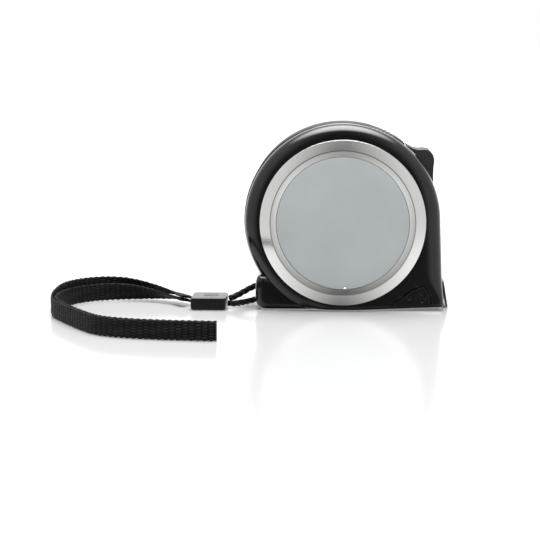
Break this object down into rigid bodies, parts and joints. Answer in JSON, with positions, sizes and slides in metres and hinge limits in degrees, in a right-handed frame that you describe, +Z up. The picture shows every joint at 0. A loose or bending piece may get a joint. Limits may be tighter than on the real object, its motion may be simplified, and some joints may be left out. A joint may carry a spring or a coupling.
{
  "type": "tape measure",
  "caption": "Pocket tape measure: a D-shaped case with round face trim, thumb lock, end hook, belt clip and a folded wrist strap on a braided cord.",
  "frame": {"origin": "centre of the footprint of the case, clip and hook, on the surface that the tape stands on; the wrist strap isn't counted", "axes": "+X along the base towards the mouth and hook, +Y from the front disc to the belt clip, +Z up"},
  "size_m": [0.1422, 0.0995, 0.0674],
  "materials": {
    "case_black": "satin front face with glossy rounded edges",
    "grip_rubber": "matt",
    "trim_silver": "turned, fine circular brushing",
    "disc_grey": "smooth satin",
    "steel": "bright",
    "reel_plastic": "moulded",
    "blade_lacquer": "lacquered steel",
    "hook_black": "black oxide",
    "button_black": "moulded, satin",
    "strap_cloth": "woven and braided polyester"
  },
  "bodies": {
    "case": {"front_shell": "case_black", "rear_shell": "case_black", "corner_insert": "case_black", "grip_band": "grip_rubber", "front_bezel": "trim_silver", "front_disc": "disc_grey", "spindle": "steel", "mouth_bumper": "grip_rubber", "clip_screw": "steel", "case_screw_1": "steel", "case_screw_2": "steel", "case_screw_3": "steel", "case_screw_4": "steel", "strap_pin": "steel", "strap_cord": "strap_cloth", "strap_bead": "button_black", "strap_webbing": "strap_cloth"},
    "reel": {"reel": "reel_plastic", "reel_cover": "reel_plastic", "mainspring": "steel", "blade_coil": "blade_lacquer"},
    "blade": {"blade_tongue": "blade_lacquer", "hook_rivet_1": "steel", "hook_rivet_2": "steel"},
    "hook": {"hook": "hook_black"},
    "lock": {"lock_button": "button_black", "lock_slider": "button_black", "brake_pad": "grip_rubber"},
    "clip": {"belt_clip": "steel"}
  },
  "joints": [
    {"name": "reel_spin", "type": "hinge", "parent": "case", "child": "reel", "pos_m": [-0.00142, -0.001, 0.0318], "axis": [0, -1, 0], "range_deg": [0, 71.6], "stiffness_Nm_per_rad": 0.02, "springref_deg": -57.3},
    {"name": "blade_slide", "type": "slide", "parent": "case", "child": "blade", "axis": [0.9994, 0, 0.0349], "range_m": [0, 0.03]},
    {"name": "hook_float", "type": "slide", "parent": "blade", "child": "hook", "axis": [0.9994, 0, 0.0349], "range_m": [0, 0.0007]},
    {"name": "lock_slide", "type": "hinge", "parent": "case", "child": "lock", "pos_m": [-0.00142, -0.001, 0.0318], "axis": [0, 1, 0], "range_deg": [0, 8]},
    {"name": "clip_flex", "type": "hinge", "parent": "case", "child": "clip", "pos_m": [-0.00142, 0.0163, 0.045], "axis": [1, 0, 0], "range_deg": [0, 4], "stiffness_Nm_per_rad": 4}
  ],
  "couplings": [
    {"joint": "blade_slide", "follows": "reel_spin", "m_per_rad": 0.024}
  ]
}
